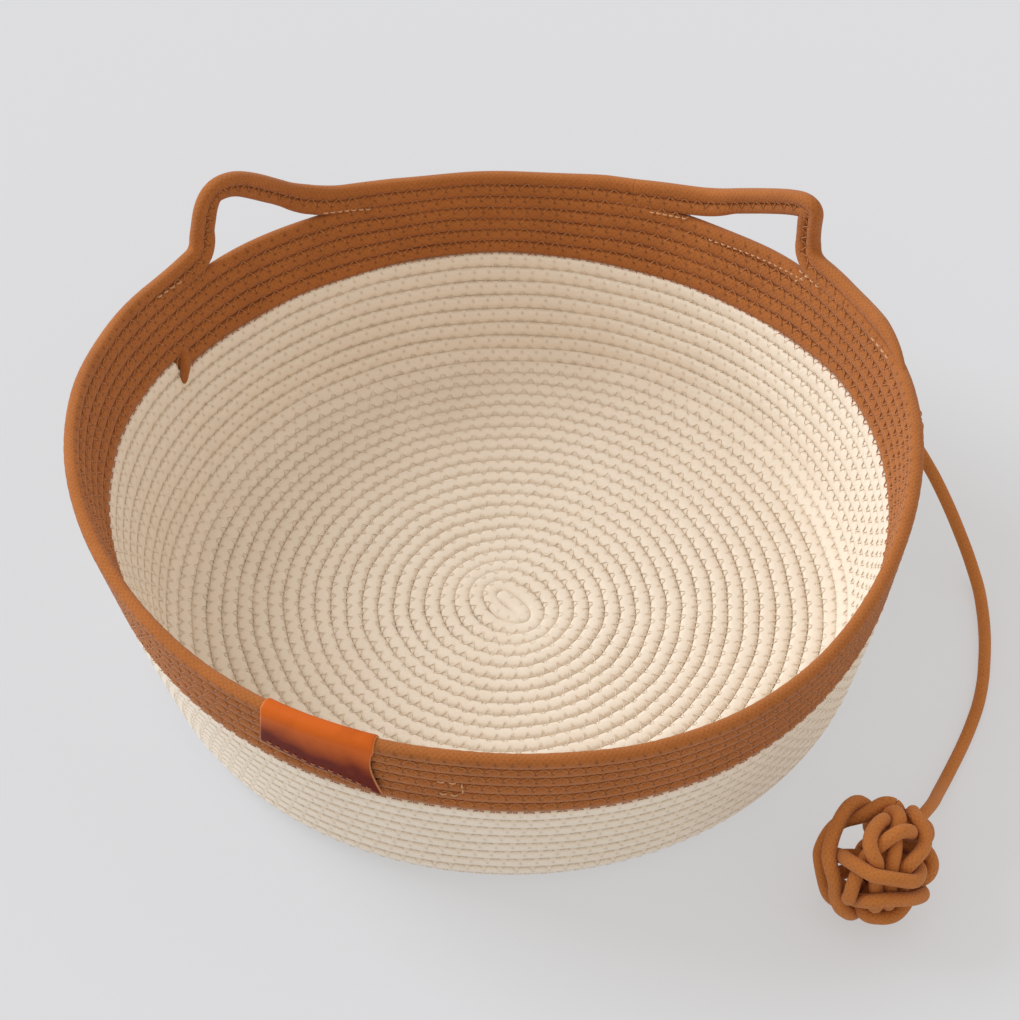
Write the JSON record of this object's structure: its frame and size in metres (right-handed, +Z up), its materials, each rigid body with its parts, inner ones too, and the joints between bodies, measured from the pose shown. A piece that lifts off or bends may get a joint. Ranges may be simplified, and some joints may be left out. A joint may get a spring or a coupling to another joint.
{
  "type": "pet bed basket",
  "caption": "Round low pet bed of coiled and sewn cotton rope with a brown top band, two ear-shaped rope loops, a folded leather tab and a rope ball toy on a cord.",
  "frame": {"origin": "centre of the underside, on the surface that the bed stands on, at the middle of the coil", "axes": "+Z up; +Y towards the back, where the two ears are; +X towards the side that the toy cord hangs on"},
  "size_m": [0.4277, 0.4121, 0.1426],
  "materials": {
    "cream_rope": "soft braided cotton",
    "brown_rope": "soft braided cotton",
    "cream_thread": "twisted sewing thread",
    "brown_thread": "twisted sewing thread",
    "tack_thread": "twisted sewing thread",
    "leather": "smooth waxed leather",
    "tab_thread": "twisted sewing thread",
    "toy_rope": "soft braided cotton"
  },
  "bodies": {
    "basket": {"floor_coil": "cream_rope", "floor_seam": "cream_thread", "wall_coil": "cream_rope", "wall_seam": "cream_thread", "band_coil": "brown_rope", "band_seam": "brown_thread", "band_start_tail": "brown_rope", "rim_front_row": "brown_rope", "rim_back_rows": "brown_rope", "rim_back_seam": "brown_thread", "left_ear_outer_rope": "brown_rope", "left_ear_inner_rope": "brown_rope", "left_ear_seam": "brown_thread", "right_ear_outer_rope": "brown_rope", "right_ear_inner_rope": "brown_rope", "right_ear_seam": "brown_thread", "ear_foot_tacks": "tack_thread", "ear_merge_tacks": "tack_thread", "leather_tab": "leather", "tab_stitching": "tab_thread", "hanger_loop": "toy_rope"},
    "toy": {"cord_knot": "toy_rope", "toy_cord": "toy_rope", "toy_ball": "toy_rope"}
  },
  "joints": [
    {"name": "toy_swing", "type": "hinge", "parent": "basket", "child": "toy", "pos_m": [0.192, 0.048, 0.074], "axis": [0, 0, 1], "range_deg": [-8, 90]}
  ]
}
